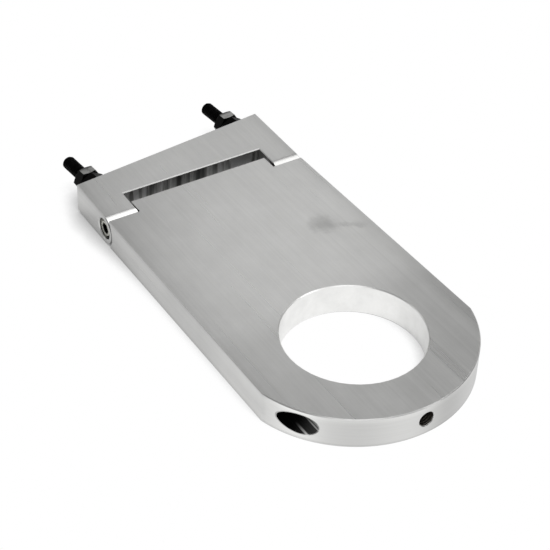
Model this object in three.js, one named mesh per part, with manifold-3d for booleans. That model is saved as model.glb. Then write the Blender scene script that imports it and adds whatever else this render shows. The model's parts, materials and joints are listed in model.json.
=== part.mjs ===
// Tilting ring holder for a watch movement, in millimetres, +Z up.
//
// A flat plate with a round ring opening is hinged to a clevis block. The plate lies on
// its underside with the ring towards -Y and the hinge towards +Y. The block's ears carry
// the pivot screws, and two threaded studs with nuts stand out of its slanted back face.
// The model is built around the ring's centre on the underside, then moved so that the
// origin is at the bottom centre of its bounding box.

import * as THREE from 'three';
import { mergeVertices } from 'three/addons/utils/BufferGeometryUtils.js';
import Module from 'manifold-3d';

const wasm = await Module();
wasm.setup();

// ---- Driving dimensions ------------------------------------------------------------

// Ring plate
const plateThickness = 9;
const ringRadius = 18.8;
const ringWall = 12.7; // ring opening to the plate's left and right sides
const frontArcBulge = 1.25; // front arc radius less half the plate's width
const frontArcSetback = 1.75; // front arc centre behind the ring centre
const edgeChamfer = 0.25;

// Tilt hinge
const hingeDistance = 75.6; // ring centre to hinge axis
const earNoseClearance = 0.4; // ear nose to the middle of its seat
const seatRelief = 2.2; // seat radius less ear nose radius
const tongueOverhang = 2.3; // tongue end behind the hinge axis
const tongueLeftClearance = 0.3; // left ear to tongue
const tongueRightClearance = 0.9; // tongue to right ear
const slotGap = 4.4; // tongue end to the slot's back wall
const restTilt = 2.5; // degrees, block raised at the back

// Hinge block
const leftEarWidth = 9.55;
const rightEarWidth = 8.55;
const blockDepth = 19.7; // hinge axis to back face, at mid-width
const backFaceAngle = 6; // degrees off square

// Pivot screws: M6 hex socket set screws with a dog point
const pivotScrewRadius = 3;
const pivotScrewRecess = 0.4;
const pivotShoulderSetback = 0.05; // thread end inside the ear
const pivotDogRadius = 2;
const pivotDogReach = 2.75; // dog point inside the tongue
const pivotSocketAcrossFlats = 3;
const pivotSocketDepth = 3.5;
const pivotScrewChamfer = 0.6;

// Mounting studs: M4 hex socket set screws used as studs
const studRadius = 2;
const studInset = 6.7; // stud axis to the block's side, at the back face
const studProtrusion = 16;
const studEngagement = 9;
const studSocketAcrossFlats = 2;
const studSocketDepth = 2.2;
const studChamfer = 0.4;

// Hex nuts: M4
const nutAcrossFlats = 7;
const nutThickness = 3.1;
const nutFaceInset = 0.14; // rim of a nut's end face inside its flats
const nutChamferAngle = 30; // degrees
const nutSeatGap = 0.3; // block to inner nut, and nut to nut
const innerNutTurn = 30; // degrees about the stud, a corner up
const outerNutTurn = 0; // a flat up

// Bores in the plate
const boreRise = 0.3; // axis of the lock bore and of the grip hole above mid-thickness

// Tilt lock: M5 set screw and plug at the end of the long bore in line with the left ear
const lockBoreOffset = 0.275; // bore axis to the left of the left ear's middle
const lockBoreStep = 0.4; // plain bore's radius less the tapped end's
const lockScrewRadius = 2.5;
const lockScrewLength = 10;
const lockThreadLength = 18; // tapped end of the bore
const lockSocketAcrossFlats = 2.5;
const lockSocketDepth = 2.5;
const lockPlugLength = 4;
const lockPlugClearance = 0.6; // radial, so the plug passes the minor diameter of an M5 thread
const lockSeatGap = 0.3; // plug to ear nose, and screw to plug

// Ring grip: M4 set screw in the radial hole at the middle of the front rim
const gripScrewRadius = 2;
const gripScrewRecess = 3.5; // front rim to screw
const gripScrewStandoff = 0.9; // screw tip to ring wall
const gripSocketAcrossFlats = 2;
const gripSocketDepth = 2.2;

// Shared clearances and fineness
const threadClearance = 0.1; // radial, screw to tapped hole
const runningClearance = 0.08; // radial, dog point to tongue
const blindEndClearance = 0.6; // past the end of a screw in a blind hole
const holeChamfer = 0.25;
const screwChamfer = 0.4;
const overrun = 1; // how far a cutter runs past the face it cuts
const arcSegments = 48; // per half turn on large arcs
const boreSegments = 32; // per turn on bores and screws

// ---- Places worked out from them ---------------------------------------------------

const halfWidth = ringRadius + ringWall;
const midHeight = plateThickness / 2;
const boreHeight = midHeight + boreRise;
const earNoseRadius = plateThickness / 2;
const tongueEndY = hingeDistance + tongueOverhang;
const seatRadius = earNoseRadius + seatRelief;
const seatFrontY = hingeDistance - earNoseRadius - earNoseClearance;
const seatCentreY = seatFrontY + seatRadius;
const pivotHeadX = halfWidth - pivotScrewRecess;
const slotWallY = tongueOverhang + slotGap; // from the hinge axis
const lockBoreX = leftEarWidth / 2 - halfWidth - lockBoreOffset;
const lockThreadRadius = lockScrewRadius + threadClearance;
const frontArcRadius = halfWidth + frontArcBulge;
const frontY = frontArcSetback - frontArcRadius;
const backFaceRise = Math.tan(THREE.MathUtils.degToRad(backFaceAngle));

// Left (side -1) and right (side 1) differ: how far the slot and the tongue reach from the
// middle, and where each pivot screw's tip lies.
const slotReach = (side) => halfWidth - (side < 0 ? leftEarWidth : rightEarWidth);
const tongueReach = (side) => (
  slotReach(side) - (side < 0 ? tongueLeftClearance : tongueRightClearance));
const pivotTipX = (side) => tongueReach(side) - pivotDogReach;

const axisX = new THREE.Vector3(1, 0, 0);
const axisY = new THREE.Vector3(0, 1, 0);
const axisZ = new THREE.Vector3(0, 0, 1);

// ---- Materials ---------------------------------------------------------------------

const metal = (color, roughness) => new THREE.MeshStandardMaterial({ color, roughness, metalness: 1 });
const aluminium = () => metal(0xc4c6c9, 0.4);
const blackSteel = () => metal(0x1d1d1f, 0.45);
const brightSteel = () => metal(0xb3b4b6, 0.3);
const brass = () => metal(0xb8994f, 0.4);

// ---- Solids ------------------------------------------------------------------------

// A closed three.js geometry as a solid that can be joined and cut.
function toSolid(geometry) {
  const bare = geometry.clone();
  bare.deleteAttribute('normal');
  bare.deleteAttribute('uv');
  const merged = mergeVertices(bare);
  const corners = merged.index.array;
  const triangles = [];
  for (let i = 0; i < corners.length; i += 3) {
    const [a, b, c] = corners.slice(i, i + 3);
    if (a !== b && b !== c && c !== a) {
      triangles.push(a, b, c);
    }
  }
  return new wasm.Manifold(new wasm.Mesh({
    numProp: 3,
    vertProperties: Float32Array.from(merged.attributes.position.array),
    triVerts: Uint32Array.from(triangles),
  }));
}

function toMesh(name, solid, material) {
  const result = solid.getMesh();
  const geometry = new THREE.BufferGeometry();
  geometry.setAttribute('position', new THREE.BufferAttribute(result.vertProperties, 3));
  geometry.setIndex(new THREE.BufferAttribute(result.triVerts, 1));
  geometry.computeVertexNormals();
  const mesh = new THREE.Mesh(geometry, material);
  mesh.name = name;
  return mesh;
}

// An outline in XY raised along +Z, with its sharp edges broken by a chamfer.
function prism(shape, height, chamfer) {
  const geometry = new THREE.ExtrudeGeometry(shape, {
    depth: height - 2 * chamfer,
    curveSegments: arcSegments / 2,
    bevelEnabled: chamfer > 0,
    bevelThickness: chamfer,
    bevelSize: chamfer,
    bevelOffset: -chamfer,
    bevelSegments: 1,
  });
  return geometry.translate(0, 0, chamfer);
}

function polygon(points) {
  return new THREE.Shape(points.map(([x, y]) => new THREE.Vector2(x, y)));
}

// A turned piece about +Y, from [radius, y] pairs that start and end on the axis.
function turned(profile, segments = boreSegments) {
  return new THREE.LatheGeometry(profile.map(([r, y]) => new THREE.Vector2(r, y)), segments);
}

// A round bar along +Y from y0 to y1, both ends chamfered.
function turnedBar(radius, y0, y1, chamfer) {
  return turned([
    [0, y0],
    [radius - chamfer, y0],
    [radius, y0 + chamfer],
    [radius, y1 - chamfer],
    [radius - chamfer, y1],
    [0, y1],
  ]);
}

// A cutter along +Y from y0 to y1 whose far end flares at 45 degrees past y1.
function countersunkBore(radius, y0, y1) {
  const flare = holeChamfer + overrun;
  return turned([
    [0, y0],
    [radius, y0],
    [radius, y1 - holeChamfer],
    [radius + flare, y1 + overrun],
    [0, y1 + overrun],
  ]);
}

// A hexagonal bar along +Y from y0 to y1, one flat facing +Z.
function hexBar(acrossFlats, y0, y1) {
  const cornerRadius = acrossFlats / Math.sqrt(3);
  const sixthTurn = Math.PI / 3;
  const corners = Array.from({ length: 6 }, (_, i) => [
    cornerRadius * Math.cos(i * sixthTurn),
    cornerRadius * Math.sin(i * sixthTurn),
  ]);
  const geometry = prism(polygon(corners), y1 - y0, 0);
  const frame = new THREE.Matrix4().makeBasis(axisX, axisZ.clone().negate(), axisY);
  return geometry.applyMatrix4(frame).translate(0, y0, 0);
}

// The geometry turned about Z so that its +Y points along +X (side 1) or -X (side -1).
function pointedSideways(geometry, side) {
  return geometry.rotateZ((-side * Math.PI) / 2);
}

// A set screw along +Y: its socket opens at y0, its tip is at y1.
function setScrew(radius, y0, y1, chamfer, socketAcrossFlats, socketDepth) {
  const body = toSolid(turnedBar(radius, y0, y1, chamfer));
  return body.subtract(toSolid(hexBar(socketAcrossFlats, y0 - overrun, y0 + socketDepth)));
}

// ---- Ring plate --------------------------------------------------------------------

function ringPlate() {
  const cornerDrop = Math.sqrt(frontArcRadius ** 2 - halfWidth ** 2);
  const cornerAngle = Math.atan2(-cornerDrop, halfWidth);
  const outline = new THREE.Shape();
  outline.moveTo(halfWidth, seatCentreY);
  outline.lineTo(-halfWidth, seatCentreY);
  outline.lineTo(-halfWidth, frontArcSetback - cornerDrop);
  outline.absarc(0, frontArcSetback, frontArcRadius, -Math.PI - cornerAngle, cornerAngle, false);
  outline.closePath();
  const ring = new THREE.Path();
  ring.absarc(0, 0, ringRadius, 0, 2 * Math.PI, true);
  outline.holes.push(ring);

  const seat = new THREE.CylinderGeometry(
    seatRadius, seatRadius, 2 * (halfWidth + overrun), 2 * arcSegments);
  seat.rotateZ(Math.PI / 2).translate(0, seatCentreY, midHeight);

  const tongueStartY = (ringRadius + seatFrontY) / 2;
  const tongue = prism(polygon([
    [-tongueReach(-1), tongueStartY],
    [tongueReach(1), tongueStartY],
    [tongueReach(1), tongueEndY],
    [-tongueReach(-1), tongueEndY],
  ]), plateThickness, edgeChamfer);

  let plate = toSolid(prism(outline, plateThickness, edgeChamfer))
    .subtract(toSolid(seat))
    .add(toSolid(tongue));

  for (const side of [-1, 1]) {
    const hole = turnedBar(
      pivotDogRadius + runningClearance,
      pivotTipX(side) - blindEndClearance,
      tongueReach(side) + overrun,
      0);
    pointedSideways(hole, side).translate(0, hingeDistance, midHeight);
    plate = plate.subtract(toSolid(hole));
  }

  const lockBoreEndY = seatFrontY - lockThreadLength;
  const lockBore = turnedBar(lockThreadRadius + lockBoreStep, frontY - overrun, lockBoreEndY, 0);
  const lockThread = turnedBar(
    lockThreadRadius, lockBoreEndY - overrun, seatFrontY + seatRadius, 0);
  for (const bore of [lockBore, lockThread]) {
    plate = plate.subtract(toSolid(bore.translate(lockBoreX, 0, boreHeight)));
  }

  const gripHole = countersunkBore(gripScrewRadius + threadClearance, 0, -frontY);
  gripHole.rotateZ(Math.PI).translate(0, 0, boreHeight);
  return plate.subtract(toSolid(gripHole));
}

function tiltLockScrew() {
  const tipY = seatFrontY + earNoseClearance - 2 * lockSeatGap - lockPlugLength;
  const screw = setScrew(lockScrewRadius, tipY - lockScrewLength, tipY,
    screwChamfer, lockSocketAcrossFlats, lockSocketDepth);
  return screw.translate([lockBoreX, 0, boreHeight]);
}

function tiltLockPlug() {
  const tipY = seatFrontY + earNoseClearance - lockSeatGap;
  const plug = turnedBar(
    lockThreadRadius - lockPlugClearance, tipY - lockPlugLength, tipY, screwChamfer);
  return toSolid(plug.translate(lockBoreX, 0, boreHeight));
}

function ringGripScrew() {
  const screw = setScrew(gripScrewRadius, frontY + gripScrewRecess, -ringRadius - gripScrewStandoff,
    screwChamfer, gripSocketAcrossFlats, gripSocketDepth);
  return screw.translate([0, 0, boreHeight]);
}

// ---- Hinge block: its own frame has its origin on the hinge axis --------------------

const backFaceY = (x) => blockDepth + backFaceRise * x;

// The matrix that takes a piece made along +Y, from the origin, to its place on the back
// face: its +Y is square to that face.
function onBackFace(side) {
  const x = side * (halfWidth - studInset);
  return new THREE.Matrix4()
    .makeTranslation(x, backFaceY(x), 0)
    .multiply(new THREE.Matrix4().makeRotationZ(THREE.MathUtils.degToRad(backFaceAngle)));
}

function hingeBlock() {
  const sideX = halfWidth + overrun;
  const frontOfNose = -earNoseRadius - overrun;
  const plan = prism(polygon([
    [-sideX, frontOfNose],
    [-slotReach(-1), frontOfNose],
    [-slotReach(-1), slotWallY],
    [slotReach(1), slotWallY],
    [slotReach(1), frontOfNose],
    [sideX, frontOfNose],
    [sideX, backFaceY(sideX)],
    [-sideX, backFaceY(-sideX)],
  ]), plateThickness, edgeChamfer).translate(0, 0, -midHeight);

  const rearY = backFaceY(sideX) + overrun;
  const profile = new THREE.Shape();
  profile.moveTo(0, -earNoseRadius);
  profile.lineTo(rearY, -earNoseRadius);
  profile.lineTo(rearY, earNoseRadius);
  profile.lineTo(0, earNoseRadius);
  profile.absarc(0, 0, earNoseRadius, Math.PI / 2, (3 * Math.PI) / 2, false);
  const acrossWidth = new THREE.Matrix4().makeBasis(axisY, axisZ, axisX);
  const acrossBlock = prism(profile, 2 * halfWidth, edgeChamfer)
    .applyMatrix4(acrossWidth)
    .translate(-halfWidth, 0, 0);

  let block = toSolid(plan).intersect(toSolid(acrossBlock));
  for (const side of [-1, 1]) {
    const pivotHole = countersunkBore(
      pivotScrewRadius + threadClearance, slotReach(side) - overrun, halfWidth);
    const studHole = countersunkBore(
      studRadius + threadClearance, -studEngagement - blindEndClearance, 0);
    block = block
      .subtract(toSolid(pointedSideways(pivotHole, side)))
      .subtract(toSolid(studHole.applyMatrix4(onBackFace(side))));
  }
  return block;
}

function pivotScrew(side) {
  const tipX = pivotTipX(side);
  const shoulderX = slotReach(side) + pivotShoulderSetback;
  const body = turned([
    [0, tipX],
    [pivotDogRadius - screwChamfer, tipX],
    [pivotDogRadius, tipX + screwChamfer],
    [pivotDogRadius, shoulderX],
    [pivotScrewRadius - screwChamfer, shoulderX],
    [pivotScrewRadius, shoulderX + screwChamfer],
    [pivotScrewRadius, pivotHeadX - pivotScrewChamfer],
    [pivotScrewRadius - pivotScrewChamfer, pivotHeadX],
    [0, pivotHeadX],
  ]);
  const socket = hexBar(
    pivotSocketAcrossFlats, pivotHeadX - pivotSocketDepth, pivotHeadX + overrun);
  return toSolid(pointedSideways(body, side)).subtract(toSolid(pointedSideways(socket, side)));
}

// Stud and nuts in their own frame: origin on the back face, +Y out along the stud.
function mountingStud() {
  const body = turnedBar(studRadius, -studEngagement, studProtrusion, studChamfer);
  const socket = hexBar(
    studSocketAcrossFlats, studProtrusion - studSocketDepth, studProtrusion + overrun);
  return toSolid(body).subtract(toSolid(socket));
}

function hexNut(y0) {
  const y1 = y0 + nutThickness;
  const faceRadius = nutAcrossFlats / 2 - nutFaceInset;
  const crownRadius = nutAcrossFlats / Math.sqrt(3) + nutFaceInset;
  const crownDrop = (crownRadius - faceRadius)
    * Math.tan(THREE.MathUtils.degToRad(nutChamferAngle));
  const crown = turned([
    [0, y0],
    [faceRadius, y0],
    [crownRadius, y0 + crownDrop],
    [crownRadius, y1 - crownDrop],
    [faceRadius, y1],
    [0, y1],
  ], 2 * boreSegments);
  const bore = turnedBar(studRadius + threadClearance, y0 - overrun, y1 + overrun, 0);
  return toSolid(hexBar(nutAcrossFlats, y0 - overrun, y1 + overrun))
    .intersect(toSolid(crown))
    .subtract(toSolid(bore));
}

// ---- Assembly ----------------------------------------------------------------------

function nutMesh(name, y0, turn) {
  const mesh = toMesh(name, hexNut(y0), blackSteel());
  mesh.rotation.y = THREE.MathUtils.degToRad(turn);
  return mesh;
}

function studGroup(side, sideName) {
  const group = new THREE.Group();
  group.applyMatrix4(onBackFace(side));
  group.add(toMesh(`mounting_stud_${sideName}`, mountingStud(), blackSteel()));
  group.add(nutMesh(`inner_nut_${sideName}`, nutSeatGap, innerNutTurn));
  group.add(nutMesh(`outer_nut_${sideName}`, 2 * nutSeatGap + nutThickness, outerNutTurn));
  return group;
}

function blockGroup() {
  const group = new THREE.Group();
  group.position.set(0, hingeDistance, midHeight);
  group.rotation.x = THREE.MathUtils.degToRad(restTilt);
  group.add(toMesh('hinge_block', hingeBlock(), aluminium()));
  for (const [side, sideName] of [[-1, 'left'], [1, 'right']]) {
    group.add(toMesh(`pivot_screw_${sideName}`, pivotScrew(side), brightSteel()));
    group.add(studGroup(side, sideName));
  }
  return group;
}

const assembly = new THREE.Group();
assembly.add(toMesh('ring_plate', ringPlate(), aluminium()));
assembly.add(toMesh('tilt_lock_screw', tiltLockScrew(), blackSteel()));
assembly.add(toMesh('tilt_lock_plug', tiltLockPlug(), brass()));
assembly.add(toMesh('ring_grip_screw', ringGripScrew(), blackSteel()));
assembly.add(blockGroup());

const bounds = new THREE.Box3().setFromObject(assembly, true);
assembly.position.y = -(bounds.min.y + bounds.max.y) / 2;

const holder = new THREE.Group();
holder.add(assembly);

export default holder;
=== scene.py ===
"""A tilting ring holder for a watch movement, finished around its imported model.

Sizes in this file are millimetres, and MM turns them into Blender's metres.
"""

import json
import math

import bmesh
import bpy
from mathutils import Matrix, Quaternion, Vector


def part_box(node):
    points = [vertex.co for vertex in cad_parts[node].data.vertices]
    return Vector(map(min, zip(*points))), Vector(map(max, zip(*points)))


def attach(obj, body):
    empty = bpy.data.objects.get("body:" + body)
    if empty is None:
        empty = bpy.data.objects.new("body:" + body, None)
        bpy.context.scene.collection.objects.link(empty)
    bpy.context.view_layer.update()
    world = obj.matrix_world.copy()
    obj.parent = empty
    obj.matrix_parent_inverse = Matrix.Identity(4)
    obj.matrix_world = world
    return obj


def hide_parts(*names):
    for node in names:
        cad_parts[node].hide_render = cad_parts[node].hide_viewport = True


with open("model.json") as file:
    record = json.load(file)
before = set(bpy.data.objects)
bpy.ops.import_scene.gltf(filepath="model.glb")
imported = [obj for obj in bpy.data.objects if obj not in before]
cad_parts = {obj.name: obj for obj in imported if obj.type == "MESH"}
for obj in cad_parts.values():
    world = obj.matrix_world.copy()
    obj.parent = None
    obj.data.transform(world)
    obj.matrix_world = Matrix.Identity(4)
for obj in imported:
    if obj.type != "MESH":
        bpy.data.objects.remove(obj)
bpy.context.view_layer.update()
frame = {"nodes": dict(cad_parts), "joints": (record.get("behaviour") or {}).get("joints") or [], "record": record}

MM = 0.001

# ---- Driving sizes, in millimetres --------------------------------------------------

# Metric threads: pitch, and the chamfer at the ends of the screw
M4_PITCH, M4_CHAMFER = 0.7, 0.5
M5_PITCH, M5_CHAMFER = 0.8, 0.55
M6_PITCH, M6_CHAMFER = 1.0, 0.85
THREAD_DEPTH = 0.613  # of the pitch, on a screw
CREST_HALF = 1 / 16  # of the pitch, half the flat on a crest
ROOT_START = 3 / 8  # of the pitch, from the middle of a crest to the flat of a root

# Hex sockets: across flats and depth
M4_SOCKET = (2.0, 2.2)
M5_SOCKET = (2.5, 2.5)
M6_SOCKET = (3.0, 3.5)
SOCKET_MOUTH = 0.12
DRILL_POINT = 0.5

DOG_RADIUS = 2.0
DOG_CHAMFER = 0.4
NUT_FLATS = 7.0
NUT_FACE_INSET = 0.14
NUT_CHAMFER = math.radians(30)
NUT_BORE = 2.1
NUT_COUNTERSINK = 0.35
NUT_EDGE = 0.06

# Liners that show the threads of the tapped holes: crest, root and wall radii
LOCK_LINER = (2.12, 2.55, 2.62)
LOCK_LINER_LENGTH = 3.6
GRIP_LINER = (2.03, 2.09, 2.12)
GRIP_LINER_INSET = 0.35  # from the rim, and from the ring opening

SOFT_EDGE = 0.05  # how far the shading rounds every sharp edge
COLUMNS = 48  # points round a screw
NUT_COLUMNS = 96
SHARP_ANGLE = math.radians(32)

# ---- Places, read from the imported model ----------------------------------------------


def joint(name):
    return next(j for j in frame["joints"] if j["name"] == name)


def ends(node, axis):
    """Where a turned node starts and ends on its axis, and its radius, in metres."""
    low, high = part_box(node)
    middle = (low + high) / 2
    points = [vertex.co - middle for vertex in frame["nodes"][node].data.vertices]
    reach = [point.dot(axis) for point in points]
    spread = [(point - axis * r).length for point, r in zip(points, reach)]
    return middle + axis * min(reach), middle + axis * max(reach), max(spread)


def placement(start, axis, up):
    """The matrix that takes a piece made along its own +Z to its place along an axis."""
    side = up.cross(axis).normalized()
    turn = Matrix((side, axis.cross(side), axis)).transposed()
    return Matrix.Translation(start) @ turn.to_4x4()


STUD_AXIS = Vector(joint("outer_nut_left_travel")["axis"]).normalized()
BLOCK_UP = Vector((0, -STUD_AXIS.z, STUD_AXIS.y)).normalized()
ACROSS = Vector((1, 0, 0))
LENGTHWISE = Vector((0, 1, 0))
UP = Vector((0, 0, 1))

openings = {o["name"]: o["box_m"] for o in frame["record"]["physics"]["openings"]}
ring_low, ring_high = (Vector(corner) for corner in openings["ring_opening"])
RING_CENTRE = (ring_low + ring_high) / 2 / MM
RING_RADIUS = min(
    (vertex.co.xy / MM - RING_CENTRE.xy).length
    for vertex in frame["nodes"]["ring_plate"].data.vertices
)
PLATE_LOW, PLATE_HIGH = (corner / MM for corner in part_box("ring_plate"))
HINGE = Vector(joint("tilt")["pos_m"]) / MM
NOSE_RADIUS = PLATE_HIGH.z / 2  # of the ears' full-round noses


def axis_of(node):
    """The middle of a turned node, which lies on its axis."""
    low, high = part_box(node)
    return (low + high) / 2 / MM


LOCK_AXIS = axis_of("tilt_lock_screw")
GRIP_AXIS = axis_of("ring_grip_screw")

# ---- Meshes: rows of points joined into a skin ----------------------------------------


class Skin:
    """The points and faces of one piece, in millimetres, along its own +Z."""

    def __init__(self):
        self.points = []
        self.faces = []

    def add(self, rows):
        start, width = len(self.points), len(rows[0])
        for row in rows:
            self.points.extend(row)
        for r in range(len(rows) - 1):
            for c in range(width - 1):
                corner = start + r * width + c
                self.faces.append((corner, corner + 1, corner + width + 1, corner + width))
        return self

    def mesh(self, name):
        """One closed mesh: points that meet are merged, and faces point out."""
        mesh = bpy.data.meshes.new(name)
        mesh.from_pydata([Vector(p) * MM for p in self.points], [], self.faces)
        work = bmesh.new()
        work.from_mesh(mesh)
        bmesh.ops.remove_doubles(work, verts=work.verts, dist=0.0005 * MM)
        bmesh.ops.dissolve_degenerate(work, edges=work.edges, dist=0.0001 * MM)
        bmesh.ops.recalc_face_normals(work, faces=work.faces)
        work.to_mesh(mesh)
        work.free()
        mesh.shade_smooth()
        mesh.set_sharp_from_angle(angle=SHARP_ANGLE)
        return mesh


def ring(radius, z, columns=COLUMNS):
    """One closed turn of points. radius and z are numbers or functions of the angle."""
    row = []
    for i in range(columns + 1):
        angle = 2 * math.pi * (i % columns) / columns
        r = radius(angle) if callable(radius) else radius
        height = z(angle) if callable(z) else z
        row.append((r * math.cos(angle), r * math.sin(angle), height))
    return row


def hexagon(across_flats):
    """The radius of a hexagon at an angle, with a corner at angle 0."""
    sixth = math.pi / 3
    return lambda angle: across_flats / 2 / math.cos(angle % sixth - sixth / 2)


def thread_fraction_rows():
    """Where the rows of one turn of thread lie, as fractions of the pitch."""
    flank = [CREST_HALF + (ROOT_START - CREST_HALF) * step / 3 for step in range(4)]
    return flank + [1 - f for f in reversed(flank)]


def helix(length, crest, root, pitch, end_radius, end_slope):
    """Rows of a right-hand thread from z 0 to length, closed by a ring at each end."""
    rows = []
    for turn in range(-2, math.ceil(length / pitch) + 1):
        for fraction in thread_fraction_rows():
            offset = min(fraction, 1 - fraction)
            share = (offset - CREST_HALF) / (ROOT_START - CREST_HALF)
            radius = crest + (root - crest) * min(max(share, 0), 1)
            row = []
            for i in range(COLUMNS + 1):
                angle = 2 * math.pi * i / COLUMNS
                z = min(max(pitch * (turn + fraction + i / COLUMNS), 0), length)
                limit = end_radius + end_slope * min(z, length - z)
                r = min(radius, limit) if end_slope > 0 else max(radius, limit)
                if z in (0, length):
                    r = end_radius
                row.append((r * math.cos(angle), r * math.sin(angle), z))
            rows.append(row)
    return rows


def socket_rows(radius, z, inward, socket):
    """The end face of a screw at z, with its hex socket going inward."""
    across_flats, depth = socket
    return [
        ring(radius, z),
        ring(hexagon(across_flats + 2 * SOCKET_MOUTH), z),
        ring(hexagon(across_flats), z + inward * SOCKET_MOUTH),
        ring(hexagon(across_flats), z + inward * depth),
        ring(0, z + inward * (depth + DRILL_POINT)),
    ]


def cup_rows(radius, z, inward):
    """The other end of a set screw: a shallow cup."""
    return [
        ring(radius, z),
        ring(radius * 0.8, z),
        ring(0, z + inward * radius * 0.3),
    ]


def threaded_body(skin, length, radius, pitch, chamfer):
    skin.add(helix(length, radius, radius - THREAD_DEPTH * pitch, pitch, radius - chamfer, 1.0))


def set_screw(length, radius, pitch, chamfer, socket):
    """A set screw whose socket opens at z 0."""
    skin = Skin()
    threaded_body(skin, length, radius, pitch, chamfer)
    skin.add(socket_rows(radius - chamfer, 0, 1, socket))
    skin.add(cup_rows(radius - chamfer, length, -1))
    return skin


def dog_point_screw(length, thread_length, radius):
    """An M6 set screw with a dog point: its socket opens at z 0."""
    skin = Skin()
    threaded_body(skin, thread_length, radius, M6_PITCH, M6_CHAMFER)
    skin.add(socket_rows(radius - M6_CHAMFER, 0, 1, M6_SOCKET))
    skin.add([
        ring(radius - M6_CHAMFER, thread_length),
        ring(DOG_RADIUS, thread_length),
        ring(DOG_RADIUS, length - DOG_CHAMFER),
        ring(DOG_RADIUS - DOG_CHAMFER, length),
        ring(0, length),
    ])
    return skin


def hex_nut(thickness):
    """A nut along +Z, with a flat towards its own +Y and both ends chamfered."""
    face_radius = NUT_FLATS / 2 - NUT_FACE_INSET
    outline = hexagon(NUT_FLATS)

    def crown(angle):
        return (outline(angle) - face_radius) * math.tan(NUT_CHAMFER)

    mouth = NUT_BORE + NUT_COUNTERSINK
    rows = [
        ring(mouth, 0, NUT_COLUMNS),
        ring(face_radius, 0, NUT_COLUMNS),
        ring(outline, crown, NUT_COLUMNS),
        ring(outline, lambda angle: thickness - crown(angle), NUT_COLUMNS),
        ring(face_radius, thickness, NUT_COLUMNS),
        ring(mouth, thickness, NUT_COLUMNS),
        ring(NUT_BORE, thickness - NUT_COUNTERSINK, NUT_COLUMNS),
        ring(NUT_BORE, NUT_COUNTERSINK, NUT_COLUMNS),
        ring(mouth, 0, NUT_COLUMNS),
    ]
    return Skin().add(rows)


def thread_liner(length, radii, pitch):
    """The skin of a tapped hole: a tube whose inside is the thread."""
    crest, root, wall = radii
    skin = Skin()
    skin.add(helix(length, crest, root, pitch, root, -1.0))
    skin.add([ring(root, 0), ring(wall, 0), ring(wall, length), ring(root, length)])
    return skin


# ---- Shader graphs ---------------------------------------------------------------------


class Graph:
    """Short calls for building a node tree. Each one returns a socket."""

    def __init__(self, tree):
        self.tree = tree
        tree.nodes.clear()

    def add(self, kind, inputs=None, **settings):
        node = self.tree.nodes.new(kind)
        for key, value in settings.items():
            setattr(node, key, value)
        for key, value in (inputs or {}).items():
            self.feed(node.inputs[key], value)
        return node

    def feed(self, socket, value):
        if isinstance(value, bpy.types.NodeSocket):
            self.tree.links.new(value, socket)
        else:
            socket.default_value = value

    def math(self, operation, a, b=0.0, c=0.0, clamp=False):
        node = self.add("ShaderNodeMath", {0: a, 1: b, 2: c}, operation=operation)
        node.use_clamp = clamp
        return node.outputs[0]

    def split(self, vector):
        return self.add("ShaderNodeSeparateXYZ", {0: vector}).outputs

    def join(self, x, y, z):
        return self.add("ShaderNodeCombineXYZ", {0: x, 1: y, 2: z}).outputs[0]

    def stretch(self, vector, factors):
        node = self.add("ShaderNodeVectorMath", {0: vector, 1: factors}, operation="MULTIPLY")
        return node.outputs[0]

    def noise(self, vector, factors, detail=2.0, roughness=0.5):
        """Noise from 0 to 1 in millimetres: factors are features per millimetre."""
        inputs = {"Vector": self.stretch(vector, factors), "Scale": 1.0,
                  "Detail": detail, "Roughness": roughness}
        return self.add("ShaderNodeTexNoise", inputs).outputs[0]

    def ease(self, value, low, high, to_low=0.0, to_high=1.0):
        """value from low to high, turned smoothly into to_low to to_high."""
        inputs = {"Value": value, "From Min": low, "From Max": high,
                  "To Min": to_low, "To Max": to_high}
        node = self.add("ShaderNodeMapRange", inputs, interpolation_type="SMOOTHSTEP")
        return node.outputs[0]

    def blend(self, factor, a, b):
        """a where factor is 0 and b where it is 1, for numbers."""
        node = self.add("ShaderNodeMix", {0: factor, 2: a, 3: b}, data_type="FLOAT")
        return node.outputs[0]

    def tint(self, factor, a, b):
        """a where factor is 0 and b where it is 1, for colours."""
        node = self.add("ShaderNodeMix", {0: factor, 6: a, 7: b}, data_type="RGBA")
        return node.outputs[2]

    def sway(self, noise, amount):
        """1, more or less, by up to amount as noise runs from 0 to 1."""
        return self.math("MULTIPLY_ADD", noise, 2 * amount, 1 - amount)

    def product(self, *values):
        result = values[0]
        for value in values[1:]:
            result = self.math("MULTIPLY", result, value)
        return result

    def largest(self, *values):
        result = values[0]
        for value in values[1:]:
            result = self.math("MAXIMUM", result, value)
        return result

    def grey(self, value, colour):
        """A colour times a number."""
        node = self.add("ShaderNodeVectorMath", {0: colour, "Scale": value}, operation="SCALE")
        return node.outputs[0]


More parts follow.
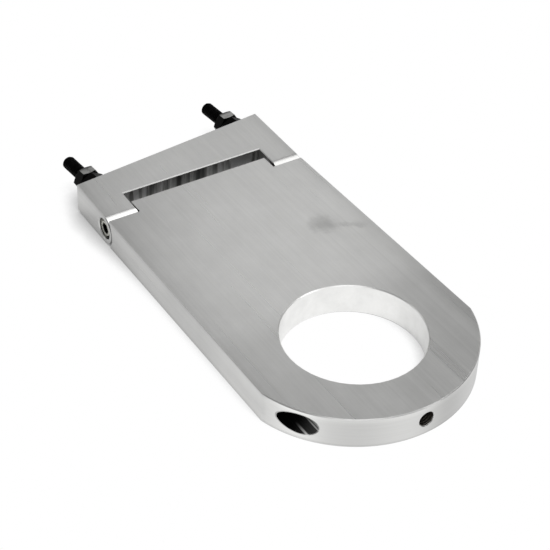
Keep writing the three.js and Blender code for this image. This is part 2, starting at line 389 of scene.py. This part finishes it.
class Surface(Graph):
    """The graph of one metal, with its place in millimetres and its normal at hand."""

    def __init__(self, name):
        self.material = bpy.data.materials.new(name)
        self.material.use_nodes = True
        super().__init__(self.material.node_tree)
        place = self.add("ShaderNodeTexCoord")
        self.mm = self.stretch(place.outputs["Object"], (1 / MM,) * 3)
        self.x, self.y, self.z = self.split(self.mm)
        self.normal = place.outputs["Normal"]
        self.nx, self.ny, self.nz = self.split(self.normal)

    def size(self, component):
        return self.math("ABSOLUTE", component)

    def distance(self, a, a0, b, b0):
        """How far a point is from a line along the third axis."""
        da = self.math("SUBTRACT", a, a0)
        db = self.math("SUBTRACT", b, b0)
        squares = self.math("MULTIPLY_ADD", da, da, self.math("MULTIPLY", db, db))
        return self.math("SQRT", squares)

    def wear_and_highlight_edge(self, radius):
        """1 along edges and 0 on faces, from how far a rounded normal leans.

        Level faces are left out, so that only the chamfers round them are marked, for wear and for painted
        highlights.
        """
        rounded = self.add("ShaderNodeBevel", {"Radius": radius * MM}, samples=6)
        flat = self.add("ShaderNodeNewGeometry")
        inputs = {0: rounded.outputs[0], 1: flat.outputs["True Normal"]}
        lean = self.add("ShaderNodeVectorMath", inputs, operation="DOT_PRODUCT")
        on_slope = self.ease(self.size(self.nz), 0.99, 0.97)
        return self.math("MULTIPLY", self.ease(lean.outputs["Value"], 0.998, 0.93), on_slope)

    def finish(self, colour, roughness, height, relief, metallic=1.0):
        """Joins the graph to a metal shader. height is 0 to 1, and relief its millimetres."""
        soft = self.add("ShaderNodeBevel", {"Radius": SOFT_EDGE * MM}, samples=6)
        inputs = {"Height": height, "Distance": relief * MM, "Strength": 1.0,
                  "Normal": soft.outputs[0]}
        bump = self.add("ShaderNodeBump", inputs)
        inputs = {"Base Color": colour, "Roughness": roughness, "Metallic": metallic,
                  "Normal": bump.outputs[0]}
        shader = self.add("ShaderNodeBsdfPrincipled", inputs)
        self.add("ShaderNodeOutputMaterial", {0: shader.outputs[0]})
        return self.material


# ---- Metals ------------------------------------------------------------------------------
# A level is how much light a surface gives back, from 0 to 1.

ALUMINIUM_TONE = (1.0, 1.0, 0.985)
FACE_LEVEL = 0.56
RIM_LEVEL = 0.62
RIM_WAVE = 26.0  # millimetres round the front end
BORE_LEVEL = 0.86
DRILLED_SHADE_LEVEL = 0.3  # painted shade, in the grip screw's hole
LOCK_BORE_SHADE_LEVEL = 0.015  # painted shade, in the lock screw's bore
# Painted shade on the slot's far wall and along its edge
SLOT_SHADE_LEVEL = 0.4
MOUTH_Y = -60.5  # where the lock screw's bore comes out of the rim
MOUTH_GLINTS = (  # painted glints in that mouth: angle, half width and strength
    (-1.15, 0.13, 1.0),
    (-0.16, 0.11, 0.5),
    (0.3, 0.38, 0.22),
)
GAP_SHADE_LEVEL = 0.1  # painted shade, in the gaps in front of the ears' noses
SMUDGE_LEVEL = 0.72
WORN_HIGHLIT_LEVEL = 0.9  # worn bare metal and a painted highlight along the plate's edges
WORN_HIGHLIT_RADIUS = 0.25  # millimetres
RELIEF = 0.001  # millimetres, of the brushing


def brushing(surface):
    """Streaks along +Y, fine and broad, and slow changes of tone."""
    fine = surface.noise(surface.mm, (1.5, 0.011, 1.5), 2, 0.55)
    broad = surface.noise(surface.mm, (0.35, 0.009, 0.35), 2)
    tone = surface.noise(surface.mm, (0.13, 0.08, 0.13), 4, 0.65)
    return fine, broad, tone


def aluminium_face(surface):
    fine, broad, tone = brushing(surface)
    level = surface.product(
        surface.sway(fine, 0.1), surface.sway(broad, 0.08), surface.sway(tone, 0.11))
    roughness = surface.product(surface.sway(broad, 0.1), surface.sway(fine, 0.1), 0.29)
    return level, roughness, fine


SMUDGE = Vector((18.7, 0.4))  # its middle on the plate's top
SMUDGE_TAIL = Vector((0.86, -0.51))  # which way its tail points


def smudge(surface):
    """A faint handling mark on the plate's top, right of its middle, with a tail."""
    wobble = surface.noise(surface.mm, (0.35, 0.35, 0.35), 3, 0.65)
    edge = surface.math("MULTIPLY_ADD", wobble, 6.0, -3.0)
    patch = surface.distance(surface.x, SMUDGE.x, surface.y, SMUDGE.y)
    core = surface.ease(surface.math("ADD", patch, edge), 5.6, 0.8)

    # The tail runs from the patch towards the plate's right edge
    dx = surface.math("SUBTRACT", surface.x, SMUDGE.x)
    dy = surface.math("SUBTRACT", surface.y, SMUDGE.y)
    along = surface.math("MULTIPLY_ADD", dx, SMUDGE_TAIL.x,
                         surface.math("MULTIPLY", dy, SMUDGE_TAIL.y))
    off = surface.math("MULTIPLY_ADD", dy, SMUDGE_TAIL.x,
                       surface.math("MULTIPLY", dx, -SMUDGE_TAIL.y))
    side = surface.size(surface.math("MULTIPLY_ADD", edge, 0.9, off))
    tail = surface.product(
        surface.ease(side, 1.9, 0.1), surface.ease(along, 0.0, 2.0),
        surface.ease(along, 14.0, 9.0), surface.ease(wobble, 0.35, 0.6, 0.25, 0.7))
    on_top = surface.ease(surface.nz, 0.9, 0.99)
    return surface.math("MULTIPLY", surface.math("MAXIMUM", core, tail), on_top)


def painted_edge_shade(s):
    """Painted shade: a little darker by the long edges, on the top and on the sides."""
    by_side = s.ease(s.size(s.x), PLATE_HIGH.x - 5.0, PLATE_HIGH.x - 0.3, 1.0, 0.92)
    on_top = s.ease(s.nz, 0.9, 0.99)
    from_middle = s.size(s.math("SUBTRACT", s.z, PLATE_HIGH.z / 2))
    by_edge = s.ease(from_middle, PLATE_HIGH.z / 2 - 1.1, PLATE_HIGH.z / 2 - 0.2, 1.0, 0.87)
    on_side = s.ease(s.size(s.nx), 0.6, 0.9)
    return s.product(s.blend(on_top, 1.0, by_side), s.blend(on_side, 1.0, by_edge))


def plate_metal():
    s = Surface("plate_aluminium_brushed")
    level, roughness, height = aluminium_face(s)
    level = s.product(level, FACE_LEVEL)
    level = s.math("MULTIPLY", level, s.blend(smudge(s), 1.0, SMUDGE_LEVEL))
    # Painted shade by the long edges
    level = s.math("MULTIPLY", level, painted_edge_shade(s))

    # Round the ring, painted shade makes the top a little darker and painted light makes the sides a little
    # brighter
    painted_shade_by_ring = s.ease(s.y, RING_CENTRE.y + 20.0, RING_CENTRE.y + 6.0, 1.0, 0.89)
    level = s.math("MULTIPLY", level, s.blend(s.ease(s.nz, 0.9, 0.99), 1.0, painted_shade_by_ring))
    painted_light_by_ring = s.ease(s.y, RING_CENTRE.y + 27.0, RING_CENTRE.y, 1.0, 1.2)
    level = s.math("MULTIPLY", level, s.blend(s.ease(s.size(s.nx), 0.6, 0.9), 1.0, painted_light_by_ring))

    # The rounded front end: fine level lines, and a few broad upright bands
    bearing = s.math("ARCTAN2", s.x, s.math("SUBTRACT", RING_CENTRE.y, s.y))
    sweep = s.math("MULTIPLY", bearing, 32)  # about millimetres along the rim, from its middle
    upright = s.join(sweep, 0.0, s.z)
    bands = s.math("COSINE", s.math("MULTIPLY_ADD", sweep, 2 * math.pi / RIM_WAVE, 1.4))
    lines = s.noise(upright, (0.04, 1, 3.5), 3, 0.6)
    rim = s.math("MULTIPLY", s.ease(s.ny, -0.15, -0.5), s.ease(s.size(s.nz), 0.75, 0.6))
    # Painted shade towards the right of the front end and painted light towards its left; painted shade along its
    # bottom and a painted highlight along its top
    painted_shade_right = s.ease(sweep, -3.0, 8.0, 1.0, 0.83)
    painted_light_left = s.ease(sweep, -24.0, -34.0, 1.0, 1.2)
    bands = s.math("MULTIPLY_ADD", bands, 0.07, 1.0)
    low = s.ease(s.z, 0.1, 1.0, 0.78, 1.0)
    high = s.ease(s.z, PLATE_HIGH.z - 2.0, PLATE_HIGH.z - 0.6, 1.0, 1.1)
    rim_level = s.product(
        bands, s.sway(lines, 0.09), painted_shade_right, painted_light_left, low, high, RIM_LEVEL)
    level = s.blend(rim, level, rim_level)
    roughness = s.blend(rim, roughness, s.product(s.sway(lines, 0.15), 0.34))
    height = s.blend(rim, height, lines)

    # The ring's bore: brighter than the faces, with fine turning lines, faintly mottled
    from_ring = s.distance(s.x, RING_CENTRE.x, s.y, RING_CENTRE.y)
    wall = s.math("MULTIPLY", s.ease(from_ring, RING_RADIUS + 0.3, RING_RADIUS + 0.1),
                  s.ease(s.size(s.nz), 0.95, 0.85))
    mottle = s.noise(s.mm, (0.3, 0.3, 0.25), 3, 0.65)
    turned = s.noise(s.join(0.0, 0.0, s.z), (1, 1, 6.0), 2)
    wall_level = s.product(s.sway(mottle, 0.12), s.sway(turned, 0.03), BORE_LEVEL)
    level = s.blend(wall, level, wall_level)
    roughness = s.blend(wall, roughness, 0.3)
    height = s.blend(wall, height, turned)

    # The drilled holes: painted shade inside them, with a few painted glints in the big one's mouth
    from_lock = s.distance(s.x, LOCK_AXIS.x, s.z, LOCK_AXIS.z)
    from_grip = s.distance(s.x, GRIP_AXIS.x, s.z, GRIP_AXIS.z)
    before_ring = s.ease(s.y, RING_CENTRE.y, RING_CENTRE.y - 10)
    lock = s.ease(from_lock, 3.2, 3.05)
    grip = s.math("MULTIPLY", s.ease(from_grip, 2.3, 2.15), before_ring)
    drilled = s.math("MAXIMUM", lock, grip)
    spiral = s.noise(s.mm, (0.3, 4.0, 0.3), 2)
    around = s.math("ARCTAN2", s.math("SUBTRACT", s.z, LOCK_AXIS.z),
                    s.math("SUBTRACT", s.x, LOCK_AXIS.x))
    by_mouth = s.ease(s.y, MOUTH_Y + 6.0, MOUTH_Y)
    glints = []
    for angle, width, share in MOUTH_GLINTS:
        off = s.size(s.math("SUBTRACT", around, angle))
        glints.append(s.math("MULTIPLY", s.ease(off, width, width / 3), share))
    painted_glint = s.product(s.largest(*glints), by_mouth, lock)
    deep = s.blend(lock, DRILLED_SHADE_LEVEL, LOCK_BORE_SHADE_LEVEL)
    level = s.blend(drilled, level, s.product(s.sway(spiral, 0.12), deep))
    level = s.blend(painted_glint, level, BORE_LEVEL)
    # The lock bore's mouth is not metal, so that the painted glints there catch the lamps' light
    painted_light_factor = s.math("SUBTRACT", 1.0, s.math("MULTIPLY", lock, by_mouth))
    roughness = s.blend(drilled, roughness, s.blend(lock, 0.16, 0.7))
    height = s.blend(drilled, height, spiral)

    # The hollow seats in front of the ears' noses: painted shade
    shaded_seat = s.math("MULTIPLY", s.ease(s.y, PLATE_HIGH.y - 9.5, PLATE_HIGH.y - 9.0),
                  s.ease(s.ny, 0.1, 0.3))
    level = s.blend(shaded_seat, level, GAP_SHADE_LEVEL)

    # Edges: wear and a painted highlight, kept out of the seats' painted shade
    edge = s.wear_and_highlight_edge(WORN_HIGHLIT_RADIUS)
    in_light = s.math("SUBTRACT", 1.0, shaded_seat)
    level = s.blend(s.product(edge, in_light, 0.6), level, WORN_HIGHLIT_LEVEL)
    roughness = s.blend(edge, roughness, 0.28)
    return s.finish(s.grey(level, ALUMINIUM_TONE), roughness, height, RELIEF, metallic=painted_light_factor)


def block_metal():
    s = Surface("block_aluminium_brushed")
    level, roughness, height = aluminium_face(s)
    # Painted light and shade: brighter towards the left, darker towards the right
    level = s.product(level, s.ease(s.x, -25.0, 15.0, 1.03, 0.86), FACE_LEVEL)

    # Walls across the block, in the slot and at the back: upright cutter marks
    marks = s.noise(s.mm, (1.3, 1.3, 0.05), 3, 0.65)
    across = s.math("MULTIPLY", s.ease(s.size(s.ny), 0.8, 0.95), s.ease(s.size(s.nz), 0.5, 0.3))
    level = s.blend(across, level, s.product(s.sway(marks, 0.2), FACE_LEVEL * 0.9))
    roughness = s.blend(across, roughness, 0.34)
    height = s.blend(across, height, marks)

    # The slot's far wall: painted shade, with stronger marks, and painted light, paler towards its ends
    behind_hinge = s.ease(s.y, HINGE.y + 4, HINGE.y + 5)
    in_slot = s.math("MULTIPLY", s.ease(s.ny, -0.8, -0.95), behind_hinge)
    wide_marks = s.noise(s.mm, (0.5, 0.5, 0.03), 1)
    contrast = s.math("MULTIPLY", s.ease(marks, 0.35, 0.65, 0.75, 1.3),
                      s.ease(wide_marks, 0.35, 0.65, 0.5, 2.1))
    painted_light_at_ends = s.math("MULTIPLY", s.ease(s.size(s.x), 3.0, 18.0, 0.85, 1.6),
                   s.ease(s.x, 0.0, 22.0, 1.0, 1.4))
    level = s.blend(in_slot, level, s.product(contrast, painted_light_at_ends, SLOT_SHADE_LEVEL))

    # The ears' noses, low in their gaps and along their side edges: painted shade
    from_hinge = s.distance(s.y, HINGE.y, s.z, HINGE.z)
    nose = s.math("MULTIPLY", s.ease(from_hinge, NOSE_RADIUS + 0.2, NOSE_RADIUS + 0.1),
                  s.ease(s.y, HINGE.y - 2.5, HINGE.y - 3.0))
    low = s.math("MULTIPLY", nose, s.ease(s.size(s.nx), 0.6, 0.3))
    level = s.blend(s.math("MULTIPLY", low, s.ease(s.nz, 0.72, 0.5)), level, GAP_SHADE_LEVEL)
    shaded_nose_rim = s.product(nose, s.ease(s.size(s.nx), 0.4, 0.6), s.ease(s.size(s.nx), 0.95, 0.85))
    level = s.blend(shaded_nose_rim, level, 2 * GAP_SHADE_LEVEL)

    # Edges: wear and a painted highlight, kept out of the noses' painted shade
    edge = s.wear_and_highlight_edge(WORN_HIGHLIT_RADIUS)
    in_light = s.math("SUBTRACT", 1.0, shaded_nose_rim)
    level = s.blend(s.product(edge, in_light, 0.4), level, 0.8)
    # Painted shade: the slot's edge is kept as dark as its far wall
    shaded_slot_edge = s.product(behind_hinge, s.ease(s.ny, -0.15, -0.4), s.ease(s.nz, 0.15, 0.4))
    level = s.blend(shaded_slot_edge, level, SLOT_SHADE_LEVEL)
    # Painted shade by the long edges
    level = s.math("MULTIPLY", level, painted_edge_shade(s))
    roughness = s.blend(edge, roughness, 0.28)
    return s.finish(s.grey(level, ALUMINIUM_TONE), roughness, height, RELIEF)


def tapped_metal():
    """The aluminium inside a tapped hole: darkened all over as painted shade, with a slightly warm tint."""
    s = Surface("tapped_aluminium")
    grain = s.noise(s.mm, (3.0, 3.0, 3.0), 3, 0.6)
    level = s.product(s.sway(grain, 0.25), 0.3)
    roughness = s.product(s.sway(grain, 0.2), 0.32)
    return s.finish(s.grey(level, (1.05, 1.0, 0.92)), roughness, grain, 0.004)


def black_oxide(name, level, worn, roughness, painted_top_highlight=0.0):
    """Blackened steel, lightly oiled: cloudy, with its edges rubbed paler.

    The last argument is the level of a painted highlight on the flats that face up, fading along the stud.
    """
    s = Surface(name)
    cloud = s.noise(s.mm, (0.7, 0.7, 0.7), 3, 0.6)
    grain = s.noise(s.mm, (6.0, 6.0, 6.0), 2)
    edge = s.wear_and_highlight_edge(0.12)
    shade = s.product(s.sway(cloud, 0.35), level)
    shade = s.blend(s.math("MULTIPLY", edge, s.ease(cloud, 0.4, 0.65)), shade, worn)
    sheen = s.product(s.sway(cloud, 0.25), s.sway(grain, 0.15), roughness)
    # A painted highlight on the flats that face up, fading along the stud
    if painted_top_highlight:
        start, end, _ = ends("outer_nut_left", STUD_AXIS)
        low, high = start.dot(STUD_AXIS) / MM, end.dot(STUD_AXIS) / MM
        along = s.add("ShaderNodeVectorMath", {0: s.mm, 1: STUD_AXIS}, operation="DOT_PRODUCT")
        fade = s.ease(along.outputs["Value"], high, (low + high) / 2, 0.15, 1.0)
        painted_light_factor = s.product(s.ease(s.nz, 0.93, 0.98), s.ease(cloud, 0.3, 0.5, 0.45, 1.0), fade)
        shade = s.blend(painted_light_factor, shade, painted_top_highlight)
    return s.finish(s.grey(shade, (1.0, 1.0, 0.98)), sheen, grain, 0.003)


def bright_steel():
    """The pivot screws: a turned end face, with painted shade in the socket and on the thread."""
    s = Surface("pivot_screw_steel_turned")
    radius = s.distance(s.y, HINGE.y, s.z, HINGE.z)
    rings = s.noise(s.join(radius, 0.0, 0.0), (7.0, 1, 1), 3, 0.6)
    cloud = s.noise(s.mm, (1.2, 1.2, 1.2), 2)
    on_face = s.ease(s.size(s.nx), 0.8, 0.95)
    level = s.product(s.sway(rings, 0.12), s.sway(cloud, 0.1), 0.5)
    # Edges: wear and a painted highlight
    edge = s.wear_and_highlight_edge(0.08)
    level = s.blend(s.math("MULTIPLY", edge, 0.3), level, 0.7)
    # Painted shade in the socket and on the thread
    shaded_socket = s.math("MULTIPLY", s.ease(radius, 1.95, 1.8), s.ease(s.size(s.nx), 0.9, 0.6))
    level = s.blend(shaded_socket, level, 0.03)
    shaded_thread = s.math("MULTIPLY", s.ease(radius, 2.2, 2.3), s.ease(s.size(s.nx), 0.9, 0.8))
    level = s.blend(shaded_thread, level, 0.06)
    roughness = s.blend(on_face, 0.3, s.product(s.sway(rings, 0.2), 0.27))
    return s.finish(s.grey(level, (1.0, 1.0, 0.9)), roughness, rings, 0.003)


def brass():
    s = Surface("plug_brass_turned")
    radius = s.distance(s.x, LOCK_AXIS.x, s.z, LOCK_AXIS.z)
    rings = s.noise(s.join(radius, s.y, 0.0), (6.0, 6.0, 1), 2)
    tarnish = s.noise(s.mm, (0.9, 0.9, 0.9), 3, 0.6)
    dull = s.ease(tarnish, 0.45, 0.75)
    colour = s.tint(dull, (0.72, 0.52, 0.22, 1), (0.42, 0.27, 0.12, 1))
    colour = s.grey(s.sway(rings, 0.1), colour)
    roughness = s.blend(dull, s.product(s.sway(rings, 0.2), 0.28), 0.45)
    return s.finish(colour, roughness, rings, 0.003)


# ---- Pieces --------------------------------------------------------------------------------


def add_piece(name, skin, matrix, material, body, node=None):
    """Puts a made mesh in its place, riding on a body, for the CAD node it stands for."""
    mesh = skin.mesh(name)
    mesh.transform(matrix)
    mesh.materials.append(material)
    piece = bpy.data.objects.new(name, mesh)
    bpy.context.scene.collection.objects.link(piece)
    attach(piece, body)
    if node:
        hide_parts(node)
    return piece


def dress(node, material):
    """Gives a CAD node its metal, and smooth shading across its round faces."""
    piece = frame["nodes"][node]
    mesh = piece.data
    mesh.materials[0] = material
    for name in ("custom_normal", "sharp_face"):
        if name in mesh.attributes:
            mesh.attributes.remove(mesh.attributes[name])
    weld = piece.modifiers.new("weld", "WELD")
    weld.merge_threshold = 0.0005 * MM
    split = piece.modifiers.new("sharp_edges", "EDGE_SPLIT")
    split.split_angle = SHARP_ANGLE
    split.use_edge_sharp = False


def studs_and_nuts():
    oxide = black_oxide("stud_black_oxide", 0.006, 0.02, 0.45)
    inner_oxide = black_oxide("inner_nut_black_oxide", 0.006, 0.02, 0.5)
    # The outer nuts' copy of the black oxide carries a painted highlight; the inner nuts' copy has none
    outer_oxide = black_oxide("outer_nut_black_oxide_painted_highlight", 0.009, 0.05, 0.36, painted_top_highlight=0.36)
    for side in ("left", "right"):
        start, end, radius = ends(f"mounting_stud_{side}", STUD_AXIS)
        stud = set_screw((end - start).length / MM, radius / MM, M4_PITCH, M4_CHAMFER, M4_SOCKET)
        add_piece(f"stud_{side}", stud, placement(end, -STUD_AXIS, BLOCK_UP), oxide,
                  "block", f"mounting_stud_{side}")
        for place, turn, body, metal in (
                ("inner", math.pi / 6, "block", inner_oxide),
                ("outer", 0, f"outer_nut_{side}", outer_oxide)):
            node = f"{place}_nut_{side}"
            start, end, _ = ends(node, STUD_AXIS)
            nut = hex_nut((end - start).length / MM)
            turned_up = Quaternion(STUD_AXIS, turn) @ BLOCK_UP
            piece = add_piece(f"nut_{place}_{side}", nut, placement(start, STUD_AXIS, turned_up),
                              metal, body, node)
            soften(piece, NUT_EDGE)


def soften(piece, width):
    """Rounds a piece's sharp edges a little."""
    bevel = piece.modifiers.new("soft_edges", "BEVEL")
    bevel.width = width * MM
    bevel.segments = 2
    bevel.limit_method = "ANGLE"
    bevel.angle_limit = SHARP_ANGLE
    bevel.harden_normals = True


def pivot_screws():
    steel = bright_steel()
    for side, direction in (("left", 1), ("right", -1)):
        node = f"pivot_screw_{side}"
        axis = ACROSS * direction
        start, end, radius = ends(node, axis)
        points = [v.co for v in frame["nodes"][node].data.vertices]
        middle = (start + end) / 2
        wide = [
            (p - start).dot(axis) for p in points
            if (p - middle - axis * (p - middle).dot(axis)).length > DOG_RADIUS * 1.1 * MM
        ]
        screw = dog_point_screw((end - start).length / MM, max(wide) / MM, radius / MM)
        add_piece(f"pivot_{side}", screw, placement(start, axis, UP), steel,
                  "block", node)


def set_screws():
    oxide = black_oxide("set_screw_black_oxide", 0.045, 0.14, 0.36)
    tapped = tapped_metal()
    start, end, radius = ends("tilt_lock_screw", LENGTHWISE)
    screw = set_screw((end - start).length / MM, radius / MM, M5_PITCH, M5_CHAMFER, M5_SOCKET)
    add_piece("lock_screw_m5", screw, placement(start, LENGTHWISE, UP), oxide,
              "lock_screw", "tilt_lock_screw")

    tip, _, _ = ends("tilt_lock_plug", LENGTHWISE)
    liner = thread_liner(LOCK_LINER_LENGTH, LOCK_LINER, M5_PITCH)
    add_piece("lock_bore_thread", liner, placement(tip, LENGTHWISE, UP), tapped,
              "plate")

    start, end, radius = ends("ring_grip_screw", LENGTHWISE)
    screw = set_screw((end - start).length / MM, radius / MM, M4_PITCH, M4_CHAMFER, M4_SOCKET)
    add_piece("grip_screw_m4", screw, placement(start, LENGTHWISE, UP), oxide,
              "grip_screw", "ring_grip_screw")

    mouth = Vector((start.x, (PLATE_LOW.y + GRIP_LINER_INSET) * MM, start.z))
    depth = RING_CENTRE.y - RING_RADIUS - GRIP_LINER_INSET - mouth.y / MM
    liner = thread_liner(depth, GRIP_LINER, M4_PITCH)
    add_piece("grip_hole_thread", liner, placement(mouth, LENGTHWISE, UP), tapped,
              "plate")


# ---- Studio ----------------------------------------------------------------------------------

CAMERA_AIM = Vector((-1.57, -7.18, 4.5)) * MM
CAMERA_DISTANCE = 386.45 * MM
CAMERA_AZIMUTH = math.radians(-33.38)
CAMERA_ELEVATION = math.radians(38.42)
CAMERA_ROLL = math.radians(1.89)
CAMERA_LENS = 94.77  # on a 36 mm sensor


def heading(azimuth, elevation):
    """The direction to something at an azimuth, 0 towards +Y and 90 towards +X."""
    return Vector((
        math.sin(azimuth) * math.cos(elevation),
        math.cos(azimuth) * math.cos(elevation),
        math.sin(elevation),
    ))


def camera():
    data = bpy.data.cameras.new("camera")
    data.lens = CAMERA_LENS
    data.sensor_width = 36
    data.clip_start = 0.01
    back = Vector((
        math.sin(CAMERA_AZIMUTH) * math.cos(CAMERA_ELEVATION),
        -math.cos(CAMERA_AZIMUTH) * math.cos(CAMERA_ELEVATION),
        math.sin(CAMERA_ELEVATION),
    ))
    view = bpy.data.objects.new("camera", data)
    view.location = CAMERA_AIM + back * CAMERA_DISTANCE
    view.rotation_mode = "QUATERNION"
    roll = Quaternion((0, 0, 1), CAMERA_ROLL)
    view.rotation_quaternion = (-back).to_track_quat("-Z", "Y") @ roll
    bpy.context.scene.collection.objects.link(view)
    bpy.context.scene.camera = view


def softbox(name, azimuth, elevation, distance, width, height, radiance):
    """A soft lamp round the object, in metres, seen by metal but not by the camera."""
    data = bpy.data.lights.new(name, "AREA")
    data.shape = "RECTANGLE"
    data.size, data.size_y = width, height
    data.energy = radiance * math.pi * width * height
    lamp = bpy.data.objects.new(name, data)
    direction = heading(math.radians(azimuth), math.radians(elevation))
    lamp.location = direction * distance
    lamp.rotation_mode = "QUATERNION"
    lamp.rotation_quaternion = (-direction).to_track_quat("-Z", "Y")
    lamp.visible_camera = False
    bpy.context.scene.collection.objects.link(lamp)


WALL_LEVEL = 0.38
FAR_TABLE_LEVEL = 0.84


def room():
    """White to the camera and below, and a soft grey room above for the metal to show."""
    world = bpy.data.worlds.new("room")
    world.use_nodes = True
    bpy.context.scene.world = world
    g = Graph(world.node_tree)
    direction = g.add("ShaderNodeTexCoord").outputs["Generated"]
    _, along, height = g.split(direction)
    table = g.ease(along, 0.0, 0.5, 1.0, FAR_TABLE_LEVEL)
    level = g.blend(g.ease(height, -0.02, 0.02), table, WALL_LEVEL)
    camera_ray = g.add("ShaderNodeLightPath").outputs["Is Camera Ray"]
    level = g.blend(camera_ray, level, 1.0)
    background = g.add("ShaderNodeBackground", {"Color": (1, 1, 1, 1), "Strength": level})
    g.add("ShaderNodeOutputWorld", {0: background.outputs[0]})


FLOOR_SIZE = 3.0  # metres
FLOOR_DROP = 0.02 * MM
SHADOW_REACH = 0.010  # metres
SHADOW_LEAN = (0.6, -0.4, 1.0)  # towards the brightest part of the room
NEAR_EXPOSURE = 2.4  # how far over white the table is, by the ring and by the studs
FAR_EXPOSURE = 1.4


def floor():
    """A white table top: clear where it is lit, and darkened where the object shades it."""
    half = FLOOR_SIZE / 2
    mesh = bpy.data.meshes.new("floor")
    corners = [(-half, -half), (half, -half), (half, half), (-half, half)]
    mesh.from_pydata([(x, y, -FLOOR_DROP) for x, y in corners], [], [(0, 1, 2, 3)])
    plane = bpy.data.objects.new("floor", mesh)
    bpy.context.scene.collection.objects.link(plane)

    material = bpy.data.materials.new("table_white")
    material.use_nodes = True
    mesh.materials.append(material)
    g = Graph(material.node_tree)
    inputs = {"Distance": SHADOW_REACH, "Normal": g.join(*SHADOW_LEAN)}
    open_sky = g.add("ShaderNodeAmbientOcclusion", inputs, samples=24).outputs["AO"]
    _, along, _ = g.split(g.add("ShaderNodeTexCoord").outputs["Object"])
    exposure = g.ease(along, 0.0, 0.045, NEAR_EXPOSURE, FAR_EXPOSURE)
    shade = g.math("MULTIPLY", open_sky, exposure, clamp=True)
    shaded = g.add("ShaderNodeBsdfTransparent", {"Color": shade})
    clear = g.add("ShaderNodeBsdfTransparent")
    shadow_ray = g.add("ShaderNodeLightPath").outputs["Is Shadow Ray"]
    mixed = g.add("ShaderNodeMixShader", {0: shadow_ray, 1: shaded.outputs[0], 2: clear.outputs[0]})
    g.add("ShaderNodeOutputMaterial", {0: mixed.outputs[0]})


# ---- The scene ---------------------------------------------------------------------------------

camera()
room()
floor()
# Azimuth, elevation, distance, width, height and radiance
softbox("window", 34, 37.5, 1.5, 0.36, 0.30, 1.05)
softbox("overhead", 112, 60, 1.2, 1.4, 1.2, 1.8)
softbox("front", -155, 46, 1.4, 1.0, 0.8, 0.9)
softbox("left_fill", -45, 26, 1.5, 0.7, 0.5, 0.45)

dress("ring_plate", plate_metal())
dress("hinge_block", block_metal())
dress("tilt_lock_plug", brass())
studs_and_nuts()
pivot_screws()
set_screws()

bpy.context.scene.view_settings.view_transform = "Standard"
